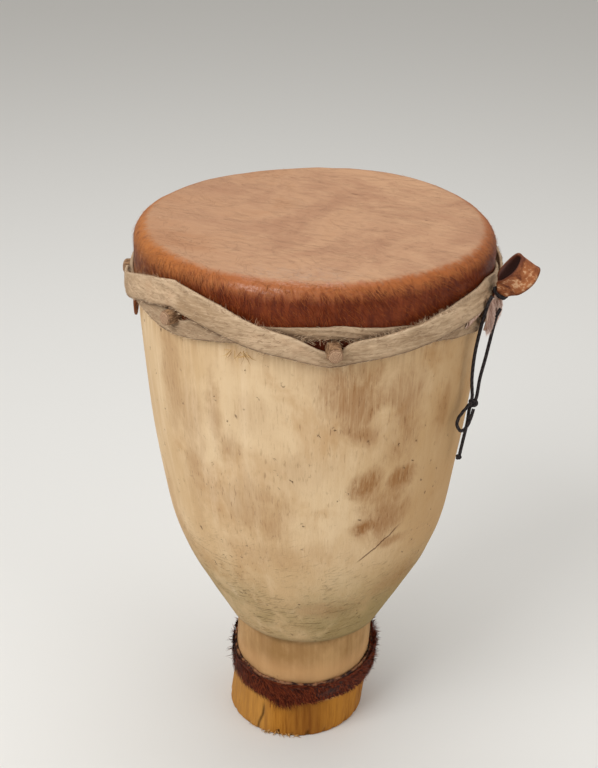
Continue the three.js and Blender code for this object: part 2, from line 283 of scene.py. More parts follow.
def rough(points, scale, seed=0.0):
    """Smooth random numbers, about -1 to 1, at each point; scale is one over the size of the lumps."""
    flat = np.reshape(points, (-1, 3)) * np.asarray(scale, float) + seed
    return np.array([noise.noise(Vector(p)) for p in flat]).reshape(np.shape(points)[:-1])


def unit(vectors):
    return vectors / np.linalg.norm(vectors, axis=-1, keepdims=True)


def curve_through(points, steps):
    """A smooth curve through the given points, with so many steps from each point to the next."""
    p = np.asarray(points, float)
    ends = np.vstack([2 * p[0] - p[1], p, 2 * p[-1] - p[-2]])
    t = np.linspace(0, 1, steps, endpoint=False)[:, None]
    spans = []
    for a, b, c, d in zip(ends, ends[1:], ends[2:], ends[3:]):
        square = (2 * a - 5 * b + 4 * c - d) * t**2
        cube = (3 * b - a - 3 * c + d) * t**3
        spans.append(0.5 * (2 * b + (c - a) * t + square + cube))
    return np.vstack(spans + [p[-1:]])


def smooth_route(points, count):
    """Evenly spaced points on a smooth curve through the given ones, and the curve's length."""
    dense = curve_through(points, 40)
    run = np.concatenate([[0], np.cumsum(np.linalg.norm(np.diff(dense, axis=0), axis=1))])
    even = np.linspace(0, run[-1], count)
    return np.stack([np.interp(even, run, dense[:, i]) for i in range(3)], -1), run[-1]


print("mesh helpers ready")

# %% [markdown]
# The tie cord is one thin black braid, doubled over the waist of the carrying loop. Its two halves hang to
# a knot; the left half then makes a bow, and the right half ends in a stopper knot. A round tube would look
# like wire, so the tube's skin rises and falls with the crossing threads of the braid.

# %% Cord routes, in metres from the head's axis
CORD_WIDTH = 0.003
KNOT = (0.1386, -0.0780, 0.3832)
END_KNOT = (0.1296, -0.0770, 0.3290)
LEFT_HALF = [
    (0.1466, -0.0844, 0.4860), (0.1426, -0.0880, 0.4770), (0.1394, -0.0856, 0.4585),
    (0.1365, -0.0820, 0.4327), (0.1358, -0.0800, 0.4082), (0.1374, -0.0784, 0.3880),
]
BOW = [
    (0.1342, -0.0800, 0.3815), (0.1300, -0.0840, 0.3780), (0.1260, -0.0870, 0.3731),
    (0.1249, -0.0880, 0.3668), (0.1287, -0.0880, 0.3610), (0.1338, -0.0864, 0.3649),
    (0.1374, -0.0826, 0.3726), (0.1392, -0.0796, 0.3784),
]
RIGHT_HALF = [
    (0.1552, -0.0795, 0.4725), (0.1524, -0.0796, 0.4660), (0.1504, -0.0792, 0.4547),
    (0.1464, -0.0790, 0.4287), (0.1429, -0.0780, 0.4074), (0.1410, -0.0774, 0.3876),
]
TAIL = [
    (0.1366, -0.0760, 0.3790), (0.1349, -0.0766, 0.3621),
    (0.1325, -0.0770, 0.3461), (0.1304, -0.0770, 0.3319),
]
AXIS_SHIFT = np.array([HEAD_AXIS[0] * MM, HEAD_AXIS[1] * MM, 0])
BRAID_SIDES = 14
BESIDE_CORD = (0.31, -0.55, 0.77)  # the tube's sideways direction is measured from this slanted one


def braid(name, route, width, finish, stands_for=(), closed=False):
    """A tube along a route whose skin carries the crossing threads of a braid."""
    sides = BRAID_SIDES
    count = len(route)
    ahead = np.roll(route, -1, axis=0) - np.roll(route, 1, axis=0)
    if not closed:
        ahead[0] = route[1] - route[0]
        ahead[-1] = route[-1] - route[-2]
    ahead = unit(ahead)
    side = unit(np.cross(ahead, BESIDE_CORD))
    lift = np.cross(ahead, side)
    angle = np.linspace(0, 2 * np.pi, sides, endpoint=False)
    run = np.linspace(0, count * 0.55, count)[:, None]
    threads = np.maximum(np.cos(3 * angle + run), np.cos(3 * angle - run))
    radius = width / 2 * (0.93 + 0.09 * threads)
    ring = side[:, None] * np.cos(angle)[None, :, None] + lift[:, None] * np.sin(angle)[None, :, None]
    points = route[:, None] + ring * radius[..., None]
    ring_faces = woven(count, sides, wrap_rows=True, wrap_cols=True)
    faces = ring_faces if closed else tube(count, sides, flip=True)
    return dress(name, points, faces, finish, stands_for, {"thread": threads})


cord_black = Finish("braided black cord", roughness=0.75, specular=0.25)
thread = cord_black.attribute("thread")
fluff = cord_black.cloud(cord_black.stretched(900, 900, 900), detail=2)
worn_thread = cord_black.step(thread + fluff * 0.6, 0.3, 1.5)
cord_black.paint(cord_black.mix(tone(18, 14, 16), tone(58, 50, 50), worn_thread))

left_route, left_run = smooth_route(LEFT_HALF + BOW, 300)
right_route, right_run = smooth_route(RIGHT_HALF + TAIL, 240)
print("cord halves, mm:", round(left_run * 1000, 1), round(right_run * 1000, 1))

# %% [markdown]
# Each half of the cord is one braided tube, and each knot is a closed braid that follows the path of an
# overhand knot pulled tight. One covers the place where the halves meet, one the end of the right half.

# %% Cord halves and knots


def knot_route(middle, size, count=90):
    """The path of an overhand knot, pulled tight."""
    t = np.linspace(0, 2 * np.pi, count, endpoint=False)
    reach = 2 + np.cos(3 * t)
    path = np.stack([reach * np.cos(2 * t), np.sin(3 * t) * 1.2, reach * np.sin(2 * t)], -1)
    return np.asarray(middle) + path * size + AXIS_SHIFT


cord_left = braid(
    "cord_left", left_route + AXIS_SHIFT, CORD_WIDTH, cord_black, ("tie_cord_left", "tie_cord_bow")
)
cord_right = braid(
    "cord_right", right_route + AXIS_SHIFT, CORD_WIDTH, cord_black, ("tie_cord_right", "tie_cord_tail")
)
cord_knot = braid("cord_knot", knot_route(KNOT, 0.00105), 0.0029, cord_black, ("tie_cord_knot",), closed=True)
end_knot = braid(
    "cord_end_knot", knot_route(END_KNOT, 0.00062), 0.0020, cord_black, ("tie_cord_end_knot",), closed=True
)

# %% [markdown]
# Below the head everything hangs on the bowl's outline. The same smooth curve that shaped the solid is
# used here, so hide and strap lie on the wood at every height.

# %% The bowl's outline
OUTLINE_STEPS = 60
outside_points = [(71, 114), (85, 140), (100.5, 170), (119.4, 210), (133.5, 260), (146.5, 360), (154, 460)]
inside_points = [(139, 460), (131.5, 360), (117.5, 260), (101, 208), (80, 166), (58, 138)]
BOWL_OUTSIDE = curve_through(outside_points + [(BOWL_RADIUS, SHOULDER)], OUTLINE_STEPS)
BOWL_INSIDE = curve_through(
    [(MOUTH_RADIUS, RIM_HEIGHT)] + inside_points + [(BORE_RADIUS, 112)], OUTLINE_STEPS
)


def wall_radius(height, offset=0.0):
    """Distance from the axis to the shell's outside, or to a skin that lies over it."""
    height = np.asarray(height, float)
    arc = np.sqrt(np.clip((RIM_ROUND + offset) ** 2 - np.clip(height - SHOULDER, 0, None) ** 2, 0, None))
    side = np.interp(height, BOWL_OUTSIDE[:, 1], BOWL_OUTSIDE[:, 0]) + offset
    return np.where(height > SHOULDER, BOWL_RADIUS - RIM_ROUND + arc, side)


print("bowl radius at mid height:", round(float(wall_radius(300)), 1), "mm")

# %% [markdown]
# The shell is bare pale wood with fine upright grain. Hands, smoke and wet have stained it: brown blotches
# on the right, scratches and a grey-green cast low on the bowl, and an orange-brown foot. The dark streaks
# under the lacing are partly stain and partly painted shade. The whole right side is browner, partly with
# age and partly with painted shade. The crease where the bowl meets the neck carries painted shade.
# Each stain is a soft patch at its own azimuth and height, broken up by noise, so it stays on the wood
# from every side.

# %% Wood finish
STAINS = [  # azimuth, height, half width in degrees, half height in mm, strength
    (13, 412, 9, 36, 0.72),
    (17, 384, 7, 12, 0.7),
    (9, 436, 10, 14, 0.4),
    (32, 400, 6, 42, 0.55),
    (50, 385, 4, 24, 0.5),
    (20, 332, 6, 13, 0.85),
    (33, 331, 5, 11, 0.8),
    (29, 298, 8, 26, 0.7),
    (22, 288, 4, 8, 0.9),
    (34, 264, 7, 6, 0.6),
    (-31, 395, 3, 30, 0.55),
    (-27, 362, 5, 22, 0.45),
    (-21, 306, 17, 34, 0.42),
    (-18, 404, 10, 20, 0.26),
    (-6, 352, 18, 24, 0.26),
    (-50, 411, 5, 50, 0.42),
    (-43, 350, 6, 70, 0.36),
    (-34, 312, 4, 30, 0.45),
    (-14, 258, 22, 16, 0.26),
    (46, 205, 14, 20, 0.4),
    (12, 181, 14, 12, 0.35),
    (140, 300, 40, 60, 0.35),
    (-135, 250, 35, 60, 0.35),
    (175, 390, 20, 40, 0.3),
]


def wood_finish():
    wood = Finish("carved pale wood", roughness=0.72, specular=0.16)
    x = wood.axis("X") - HEAD_AXIS[0] * MM + BOWL_OFFSET * MM
    y = wood.axis("Y") - HEAD_AXIS[1] * MM
    height = wood.axis("Z") / MM
    azimuth = wood.maths("ARCTAN2", x, y * -1.0) * math.degrees(1)
    broad = wood.cloud(wood.stretched(9, 9, 5), detail=4)
    cloudy = wood.cloud(wood.stretched(16, 16, 11), detail=5, rough=0.62, warp=0.5)
    streak = wood.cloud(wood.stretched(210, 210, 6), detail=5, rough=0.6, warp=0.3)
    fine = wood.cloud(wood.stretched(700, 700, 18), detail=3, rough=0.6)
    speckle = wood.cloud(wood.stretched(420, 420, 420), detail=2)
    patchy = wood.cloud(wood.stretched(38, 38, 26), detail=5, rough=0.65, warp=0.6)

    grain = wood.step(broad * 0.75 + streak * 0.25, 0.38, 0.62)
    colour = wood.mix(tone(208, 175, 132), tone(224, 196, 157), grain)
    colour = wood.mix(colour, tone(184, 140, 92), wood.step(cloudy, 0.49, 0.72) * 0.62)
    colour = wood.mix(colour, tone(172, 130, 84), wood.step(fine, 0.58, 0.80) * 0.3)
    # The right side is browner: partly ageing, partly painted shade away from the key light.
    aged_and_shaded = wood.step(azimuth, 5, 62) * wood.step(azimuth, 160, 110)
    colour = wood.mix(colour, tone(164, 116, 54), aged_and_shaded * (0.28 + cloudy * 0.45))
    olive = wood.step(height, 265, 150) * wood.step(broad + patchy * 0.5 + aged_and_shaded * 0.25, 0.45, 0.9)
    colour = wood.mix(colour, tone(146, 126, 78), olive * 0.85)

    stain = 0.0
    ragged = (patchy - 0.5) * 3.0 + (cloudy - 0.5) * 2.4
    for middle, level, half_width, half_height, strength in STAINS:
        away = wood.maths("ABSOLUTE", azimuth - middle) / half_width
        off = wood.maths("ABSOLUTE", height - level) / half_height
        reach = wood.maths("SQRT", away * away + off * off) + ragged
        stain = wood.maths("MAXIMUM", stain, wood.step(reach, 1.6, 0.0) * strength)
    colour = wood.mix(colour, tone(142, 90, 38), stain * wood.step(streak * 0.5 + fine * 0.5, 0.16, 0.58))
    pale = wood.cloud(wood.stretched(52, 52, 4), detail=4, rough=0.55, warp=0.5)
    pale = wood.step(pale, 0.52, 0.72) * wood.step(azimuth, 12, -22)
    colour = wood.mix(colour, tone(240, 216, 182), pale * 0.28)
    fleck = wood.cloud(wood.stretched(560, 560, 80), detail=3, rough=0.62)
    flecked = wood.step(fleck, 0.57, 0.70) * (0.12 + stain * 0.8 + wood.step(cloudy, 0.47, 0.66) * 0.45)
    colour = wood.mix(colour, tone(112, 68, 32), flecked * 0.7)

    # Darker streaks just under the lacing: partly stain, partly painted shade under the lacing.
    streaks_and_shade_under_lacing = wood.step(height, 425, 462) * wood.step(streak, 0.42, 0.62)
    colour = wood.mix(colour, tone(158, 112, 66), streaks_and_shade_under_lacing * 0.35)
    scratch = wood.cloud(wood.stretched(16, 16, 900), detail=2, rough=0.5)
    low_bowl = wood.step(height, 320, 175) * wood.step(height, 116, 128)
    scratched = wood.step(scratch, 0.63, 0.70) * low_bowl * wood.step(patchy, 0.40, 0.6)
    colour = wood.mix(colour, tone(104, 78, 48), scratched * 0.45)
    tilted = wood.turned("Y", 0.5)
    scuff = wood.cloud(wood.stretched(110, 110, 560, tilted), detail=4, rough=0.7)
    scuffed = wood.step(scuff, 0.55, 0.68) * low_bowl * wood.step(patchy, 0.36, 0.56)
    colour = wood.mix(colour, tone(116, 90, 52), scuffed * 0.5)
    slash = wood.maths("ABSOLUTE", height - 248.0 - (azimuth - 21.0) * 2.1 + (patchy - 0.5) * 9.0)
    slash = wood.step(slash, 1.5, 0.3) * wood.step(azimuth, 19, 22) * wood.step(azimuth, 37, 33)
    colour = wood.mix(colour, tone(84, 52, 24), slash * 0.8)
    pits = {"Vector": wood.stretched(1.0, 1.0, 0.5, tilted), "Scale": 92.0}
    dots = wood.node("ShaderNodeTexVoronoi", inputs=pits, output="Distance")
    dots = wood.step(dots, 0.20, 0.05) * wood.step(speckle, 0.52, 0.62)
    colour = wood.mix(colour, tone(86, 58, 32), dots * 0.8)

    neck = wood.step(height, 124, 114)
    neck_grain = wood.step(streak * 0.25 + cloudy * 0.75, 0.38, 0.62)
    neck_tone = wood.mix(tone(152, 112, 66), tone(190, 150, 102), neck_grain)
    neck_tone = wood.mix(neck_tone, tone(204, 156, 108), wood.step(height, 98, 76) * 0.6)
    colour = wood.mix(colour, neck_tone, neck * 0.9)
    # Painted shade in the crease where the bowl overhangs the neck.
    crease = wood.step(wood.maths("ABSOLUTE", height - 121.0 + (patchy - 0.5) * 14.0), 11.0, 0.5)
    colour = wood.mix(colour, tone(98, 76, 40), crease * 0.55)
    foot = wood.step(height + broad * 10, 54, 46)
    cut = wood.cloud(wood.stretched(260, 260, 14), detail=4, rough=0.65)
    foot_grain = wood.step(cut * 0.6 + broad * 0.4, 0.36, 0.64)
    foot_tone = wood.mix(tone(130, 74, 10), tone(182, 122, 42), foot_grain)
    foot_tone = wood.mix(foot_tone, tone(206, 152, 78), wood.step(azimuth, -22, -40) * 0.45)
    foot_front = wood.step(wood.maths("ABSOLUTE", azimuth - 2.0), 26, 6)
    foot_tone = wood.mix(foot_tone, tone(112, 62, 12), foot_front * 0.5)
    colour = wood.mix(colour, foot_tone, foot)
    inside = wood.attribute("inside")
    colour = wood.mix(colour, tone(120, 90, 58), inside * 0.8)
    crack = wood.attribute("crack")
    colour = wood.mix(colour, tone(38, 20, 8), crack)

    relief = streak * 0.3 + fine * 0.3 - dots * 0.6 - (scratched + scuffed + slash) * 0.5
    relief = relief - crack * 2.0 - stain * 0.2
    wood.paint(colour, roughness=wood.step(streak, 0.2, 0.8) * 0.18 + 0.62, height=relief, depth=0.0008)
    return wood


shell_wood = wood_finish()
print("stains on the wood:", len(STAINS))

# %% [markdown]
# The shell's mesh is one closed skin: out from the bore, up the foot, neck and bowl, over the rim and down
# the inside. Small lumps from the adze, chips at the foot's edge and a drying crack are pushed into it.

# %% Carved shell
SHELL_COLS = 300
CRACK_AZIMUTH = -33
foot_edge = [(FOOT_RADIUS - 2 + 2 * math.sin(a), 2.5 - 2.5 * math.cos(a)) for a in np.linspace(0.2, 1.57, 4)]
outer_foot = [(r, 0.0) for r in np.linspace(BORE_RADIUS + 2, FOOT_RADIUS - 2, 7)] + foot_edge
outer_foot += [(FOOT_RADIUS - 0.5 * t, 2.5 + 33 * t) for t in np.linspace(0.1, 1, 14)]
outer_neck = [(FOOT_RADIUS - 0.5 - 0.5 * t, 35.5 + 70 * t) for t in np.linspace(0.05, 1, 26)]
outer_neck += [(67.0, 110.5), (67.4, 114.5), (68.8, 118.0), (71.8, 121.0)]
outer_bowl = [tuple(p) for p in BOWL_OUTSIDE[::3] if p[1] > 124]
rim = [
    (BOWL_RADIUS - RIM_ROUND + RIM_ROUND * math.cos(a), SHOULDER + RIM_ROUND * math.sin(a))
    for a in np.linspace(0.1, math.pi / 2, 8)
]
inner = [tuple(p) for p in BOWL_INSIDE[::9]] + [(BORE_RADIUS, z) for z in np.linspace(104, 12, 12)]
profile = np.array(outer_foot + outer_neck + outer_bowl + rim + inner)
outer_rows = len(outer_foot + outer_neck + outer_bowl + rim)
azimuths = np.linspace(-180, 180, SHELL_COLS, endpoint=False)
shell_points = around(azimuths[None, :], profile[:, :1], profile[:, 1:])
heights = np.repeat(profile[:, 1:], SHELL_COLS, axis=1)
outside = (np.arange(len(profile)) < outer_rows)[:, None] & (heights > 0.5)
adze = 0.9 * rough(shell_points, (0.021, 0.021, 0.012)) + 0.35 * rough(shell_points, (0.07, 0.07, 0.02), 7.0)
chips = ease(rough(around(azimuths, 60, 0), 0.16, 3.0), 0.1, 0.5)
chips = chips * (0.35 + bell(turn_between(azimuths, -6), 24))
chipped = chips[None, :] * ease(heights, 9, 1) * 3.2
crack_path = turn_between(azimuths[None, :], CRACK_AZIMUTH) + 0.7 * np.sin(heights * 0.22) - heights * 0.06
crack = bell(crack_path, 0.9) * ease(heights, 40, 24) * 0.8
push = np.where(outside, adze * ease(heights, 0, 12) - chipped - 1.2 * crack, 0)
flat = np.linalg.norm(shell_points[..., :2], axis=-1, keepdims=True)
shell_points[..., :2] *= 1 + push[..., None] / flat
shell_points[..., 2] += np.where(outside & (heights < 9), chips[None, :] * 1.6 * ease(heights, 9, 1), 0)
dress(
    "shell_wood",
    in_frame(shell_points),
    woven(len(profile), SHELL_COLS, wrap_rows=True, wrap_cols=True),
    shell_wood,
    ("drum_shell",),
    {"inside": np.broadcast_to(~outside, heights.shape), "crack": np.where(outside, crack, 0)},
)

# %% [markdown]
# The saw tore the foot's edge, and a few pale splinters still stick out of it at the front.

# %% Splinters
draw = np.random.default_rng(17)
splinter_finish = Finish("torn wood", roughness=0.8, specular=0.15)
torn = splinter_finish.cloud(splinter_finish.stretched(600, 600, 60), detail=3)
splinter_finish.paint(splinter_finish.mix(tone(176, 120, 56), tone(222, 178, 116), torn))
splinters = []
splinter_faces = []
for azimuth in draw.normal(-16, 11, 18):
    long_way = draw.uniform(6, 13)
    lean = draw.uniform(-0.9, 0.9)
    root = around(azimuth, FOOT_RADIUS - 1.4, draw.uniform(1.2, 4.0))[None, :]
    side = around(azimuth + 90, 1.0, 0.0)[None, :] * draw.uniform(0.9, 2.2)
    tip = root + around(azimuth, 0.45 * long_way, 0.0) + side * lean * long_way * 0.6
    tip[:, 2] = draw.uniform(0.3, 2.2)
    start = len(splinters) * 4
    splinters.append(np.concatenate([root - side, root + side, root + (0, 0, 1.8), tip]))
    for a, b, c in ((0, 1, 3), (1, 2, 3), (2, 0, 3), (0, 2, 1)):
        splinter_faces.append([start + a, start + b, start + c])
dress("foot_splinters", in_frame(np.array(splinters)), splinter_faces, splinter_finish)

# %% [markdown]
# Seven pegs hold the lacing. Each one is whittled, so its sides are flats of uneven width and its end shows
# rings. They stand where the solids are, and the order is the order in which the strap meets them.

# %% Pegs
PEG_RADIUS = 6.3
PEG_ROOT = 144.0
PEGS = [  # azimuth, height, reach from the axis
    (63, 468, 171),
    (6, 471, 178),
    (-44, 477, 172),
    (-97, 466, 172),
    (-149, 471, 176),
    (-198, 469, 174),
    (-247, 472, 175),
]


def peg_finish():
    peg = Finish("whittled peg wood", roughness=0.78, specular=0.2)
    streak = peg.cloud(peg.stretched(260, 260, 900), detail=4, rough=0.65)
    rings = peg.maths("SINE", peg.attribute("ring") * 38.0 + streak * 9.0)
    colour = peg.mix(tone(96, 68, 46), tone(168, 132, 98), peg.step(streak, 0.34, 0.68))
    end = peg.attribute("end")
    cut_end = peg.mix(tone(140, 106, 80), tone(194, 160, 130), peg.step(rings, -0.7, 0.9))
    colour = peg.mix(colour, cut_end, end)
    colour = peg.mix(colour, tone(70, 46, 28), peg.step(peg.attribute("ring"), 0.78, 1.0) * end * 0.7)
    return peg.paint(colour, height=streak + rings * 0.12 * end, depth=0.0006)


peg_wood = peg_finish()


def whittled_peg(number, azimuth, height, reach):
    sides = 20
    stations = [(PEG_ROOT, 1.0), (160, 1.0), (reach - 6, 1.0), (reach - 2, 0.96), (reach - 0.6, 0.84)]
    stations += [(reach, 0.7), (reach + 0.1, 0.45), (reach + 0.15, 0.2), (reach + 0.15, 0.0)]
    angle = np.linspace(0, 2 * np.pi, sides, endpoint=False)
    flats = 1 + 0.045 * np.cos(5 * angle + number) + 0.03 * np.cos(8 * angle + 2.3 * number)
    out = around(azimuth, 1, 0)
    across = around(azimuth + 90, 1, 0)
    points = []
    ends = []
    for along, share in stations:
        ring = across * (np.cos(angle) * flats)[:, None] + UP * (np.sin(angle) * flats)[:, None]
        points.append(out * along + UP * height + ring * PEG_RADIUS * share)
        ends.append(np.full(sides, float(along > reach - 1)))
    rings = [np.full(sides, share) for _, share in stations]
    faces = woven(len(stations), sides, wrap_cols=True) + [list(range(sides))[::-1]]
    return dress(
        f"peg_wood_{number}", in_frame(np.array(points)), faces, peg_wood, (f"peg_{number}",),
        {"end": ends, "ring": rings},
    )


for number, (azimuth, height, reach) in enumerate(PEGS, 1):
    whittled_peg(number, azimuth, height, reach)

# %% [markdown]
# The head is one raw hide, soaked and stretched over the mouth. Its top is shaved to a tan skin with the
# marks of the scraper. Round the edge the red-brown hair was left on, and the skirt comes down behind the
# lacing, pulled lowest at each peg.

# %% Hide finish
HIDE_THICKNESS = 2.5
HIDE_GAP = 0.6
SKIN = HIDE_GAP + HIDE_THICKNESS
HIDE_EDGE = 474.0
SKIRT_PULL = 10.0
EAR_AZIMUTH = -91
EAR_DROP = 36.0
EAR_HALF_WIDTH = 4.5
HAIR_LINE = 148.5
# The third red tone is the painted highlight on the hair at the rim's bend.
RED_HAIR = (tone(84, 28, 8), tone(124, 54, 20), tone(168, 98, 50), tone(176, 110, 54))


def hide_finish():
    hide = Finish("stretched raw hide", roughness=0.6, specular=0.2)
    x = hide.axis("X") - HEAD_AXIS[0] * MM
    y = hide.axis("Y") - HEAD_AXIS[1] * MM
    height = hide.axis("Z") / MM
    radius = hide.maths("SQRT", x * x + y * y) / MM
    turned = hide.turned("Z", 0.45)
    scraped = hide.cloud(hide.stretched(30, 120, 60, turned), detail=6, rough=0.62, warp=2.4)
    stubble = hide.cloud(hide.stretched(200, 700, 500, turned), detail=3, rough=0.6, warp=1.0)
    broad = hide.cloud(hide.stretched(8, 8, 8), detail=6, rough=0.62, warp=0.9)
    creases = hide.cloud(hide.stretched(18, 46, 30, turned), detail=6, rough=0.6, warp=2.2)
    creases = hide.step(hide.maths("ABSOLUTE", creases - 0.5), 0.025, 0.0)

    worn = hide.step(scraped * 0.22 + broad * 0.78, 0.36, 0.64)
    top = hide.mix(tone(168, 125, 96), tone(193, 152, 118), worn)
    top = hide.mix(top, tone(156, 104, 70), hide.step(broad - x * 0.6, 0.50, 0.74) * 0.6)
    top = hide.mix(top, tone(214, 176, 140), hide.step(stubble, 0.60, 0.80) * 0.18)
    top = hide.mix(top, tone(132, 84, 56), creases * hide.step(broad, 0.50, 0.66) * 0.14)
    marks = hide.cloud(hide.stretched(60, 190, 90, turned), detail=2)
    top = hide.mix(top, tone(104, 66, 44), hide.step(marks, 0.74, 0.80) * 0.7)

    strand = hide.cloud(hide.stretched(190, 190, 34), detail=5, rough=0.6, warp=0.8)
    hair = hide.mix(RED_HAIR[0], RED_HAIR[1], hide.step(strand, 0.30, 0.66))
    # Paler orange on the hair at the rim's bend: a painted highlight.
    hair = hide.mix(hair, RED_HAIR[2], hide.step(height + (strand - 0.5) * 22.0, 506, 519) * 0.85)
    left = hide.step(x, -0.06, -0.15)
    hair = hide.mix(hair, RED_HAIR[3], left * hide.step(strand * 0.5 + broad * 0.5, 0.34, 0.60) * 0.8)
    hair = hide.mix(hair, RED_HAIR[0], hide.step(height + (broad - 0.5) * 20.0, 500, 478) * 0.6)
    edge = radius + (scraped - 0.5) * 7.0 + (strand - 0.5) * 9.0
    hairy = hide.step(edge, HAIR_LINE - 5, HAIR_LINE + 3)
    colour = hide.mix(top, hair, hairy)
    relief = scraped * 0.5 + stubble * 0.35 - creases * 0.4 + strand * hairy
    hide.shader.inputs["Coat Roughness"].default_value = 0.22
    glint = hide.step(hide.maths("ABSOLUTE", x + 0.012), 0.075, 0.015) * hide.step(y, -0.10, -0.14)
    glint = glint * hide.step(height, 503, 512) * hide.step(strand * 0.6 + stubble * 0.4, 0.44, 0.62)
    hide.feed(hide.shader.inputs["Coat Weight"], glint)
    hide.paint(colour, roughness=0.66 - hairy * 0.16, height=relief, depth=0.0005)
    return hide


hide_skin = hide_finish()
print("the hair starts about", HAIR_LINE, "mm from the axis")

# %% [markdown]
# The hide's mesh has two faces: one close over the wood, the other a hide's thickness above it. Each runs
# from the middle of the head over the rim and down the skirt. The outer face has the waves of dried hide.

# %% Stretched head


def skirt_edge(azimuth):
    """Height of the skirt's lower edge: pulled down at each peg, with one longer ear at the left."""
    edge = np.full(np.shape(azimuth), HIDE_EDGE)
    for peg_azimuth, peg_height, _ in PEGS:
        edge -= (HIDE_EDGE - peg_height + SKIRT_PULL) * bell(turn_between(azimuth, peg_azimuth), 9)
    return edge - EAR_DROP * bell(turn_between(azimuth, EAR_AZIMUTH), EAR_HALF_WIDTH)


HIDE_COLS = 300
hide_azimuths = np.linspace(-180, 180, HIDE_COLS, endpoint=False)


def hide_rows(offset):
    """Points of one face of the hide, from the middle of the head to the skirt's edge."""
    top_radii = np.concatenate([[0.5], np.linspace(6, BOWL_RADIUS - RIM_ROUND, 34)])
    rows = [around(hide_azimuths, r, RIM_HEIGHT + offset) for r in top_radii]
    for a in np.linspace(0.12, math.pi / 2, 10):
        bend = RIM_ROUND + offset
        height = SHOULDER + bend * math.cos(a)
        rows.append(around(hide_azimuths, BOWL_RADIUS - RIM_ROUND + bend * math.sin(a), height))
    low = skirt_edge(hide_azimuths)
    for share in np.linspace(0.06, 1, 18):
        height = SHOULDER - (SHOULDER - low) * share
        ear = 4.5 * bell(turn_between(hide_azimuths, EAR_AZIMUTH), 5) * ease(height, 456, 440)
        rows.append(around(hide_azimuths, wall_radius(height, offset) + ear, height))
    return np.array(rows)


hide_outer = hide_rows(SKIN)
wave = 0.7 * rough(hide_outer, 0.018, 5.0) + 0.35 * rough(hide_outer, 0.05, 9.0)
edge_share = ease(np.linalg.norm(hide_outer[..., :2], axis=-1), 136, 152)
hide_outer[..., 2] += wave * (0.6 + edge_share)
hide_outer[..., :2] *= 1 + (0.006 * rough(hide_outer, 0.022, 2.0) * edge_share)[..., None]
hide_inner = hide_rows(HIDE_GAP)[::-1]
hide_points = np.concatenate([hide_outer, hide_inner])
hide_faces = tube(len(hide_points), HIDE_COLS)
head_hide = dress("head_hide", in_frame(hide_points), hide_faces, hide_skin, ("drumhead_hide",))

# %% [markdown]
# Hair is what makes the skirt read as hide. Particles would be lost when the model leaves Blender, so each
# hair is a real sliver of mesh: three points along its length, two wide at the root and one at the tip.

# %% Hair helper


def hairs(name, roots, flow, away, length, lift, width, finish, curl=0.0, seed=1):
    """Slivers that start at roots, run along flow, and rise from the skin along away."""
    draw = np.random.default_rng(seed)
    count = len(roots)
    length = np.asarray(length) * draw.uniform(0.7, 1.25, count)
    flow = unit(flow)
    side = unit(np.cross(flow, away))
    sway = draw.normal(0, 1, count) * curl
    points = np.zeros((count, 5, 3))
    for k, (along, half) in enumerate([(0.0, 0.5), (0.55, 0.42), (1.0, 0.0)]):
        rise = lift * (1 - (1 - along) ** 2)
        middle = roots + flow * (length * along)[:, None] + away * np.reshape(rise, (-1, 1))
        middle = middle + side * (sway * along**2 * length)[:, None]
        if half:
            points[:, 2 * k] = middle - side * width * half
            points[:, 2 * k + 1] = middle + side * width * half
        else:
            points[:, 4] = middle
    base = np.arange(count)[:, None] * 5
    quads = (base + [0, 1, 3, 2]).tolist()
    tips = (base + [2, 3, 4]).tolist()
    shade = np.repeat(draw.uniform(0, 1, count), 5)
    tip = np.tile([0, 0, 0.55, 0.55, 1.0], count)
    return dress(name, in_frame(points), quads + tips, finish, (), {"shade": shade, "tip": tip})


def hair_finish(name, dark, middle, light, roughness=0.45, specular=0.25, painted_highlight=None):
    """Hair of three tones; the last argument gives a fourth tone, a painted highlight, and the heights in mm
    between which it takes over.
    """
    hair = Finish(name, roughness=roughness, specular=specular)
    shade = hair.attribute("shade")
    clump = hair.cloud(hair.stretched(60, 60, 40), detail=3)
    colour = hair.mix(dark, middle, hair.step(shade * 0.6 + clump * 0.5, 0.30, 0.70))
    colour = hair.mix(colour, light, hair.step(shade + hair.attribute("tip") * 0.4, 0.85, 1.35) * 0.8)
    if painted_highlight:
        # A painted highlight: the fourth tone takes over between the given heights.
        colour = hair.mix(colour, painted_highlight[0], hair.step(hair.axis("Z") / MM, painted_highlight[1], painted_highlight[2]) * 0.9)
    return hair.paint(colour)


print("hair helper ready")

# %% [markdown]
# The red-brown hair lies close to the skirt and thins out at the edge of the shaved top, where it is painted
# paler as a painted highlight on the bend. It is combed down and swept to the right, more so right of the
# front, and no two locks lie alike.

# %% Hair on the skirt
RED_TONES = (tone(96, 36, 13), tone(124, 54, 22), tone(164, 94, 48))
# The fourth tone paints the hair paler between 505 and 516 mm: a painted highlight on the bend.
red_hair = hair_finish("red-brown head hair", *RED_TONES, 0.45, 0.12, (tone(178, 112, 64), 505, 516))
draw = np.random.default_rng(11)
SKIRT_HAIRS = 13000
HAIR_TOP = 521.0
HAIR_DEPTH = 42.0
hair_azimuth = draw.uniform(-180, 180, SKIRT_HAIRS)
share = draw.beta(1.6, 1.1, SKIRT_HAIRS)
down = HAIR_TOP - share * HAIR_DEPTH
bend = SKIN + RIM_ROUND
over_edge = np.clip((down - SHOULDER) / bend, 0, 0.985)
upright = np.sqrt(1 - over_edge**2)
on_bend = BOWL_RADIUS - RIM_ROUND + bend * upright
skin_radius = np.where(down > SHOULDER, on_bend, wall_radius(down, SKIN))
roots = around(hair_azimuth, skin_radius + 0.2, down)
out = around(hair_azimuth, 1.0, 0.0)
away = out * upright[:, None] + UP * over_edge[:, None]
flow = out * over_edge[:, None] - UP * upright[:, None]
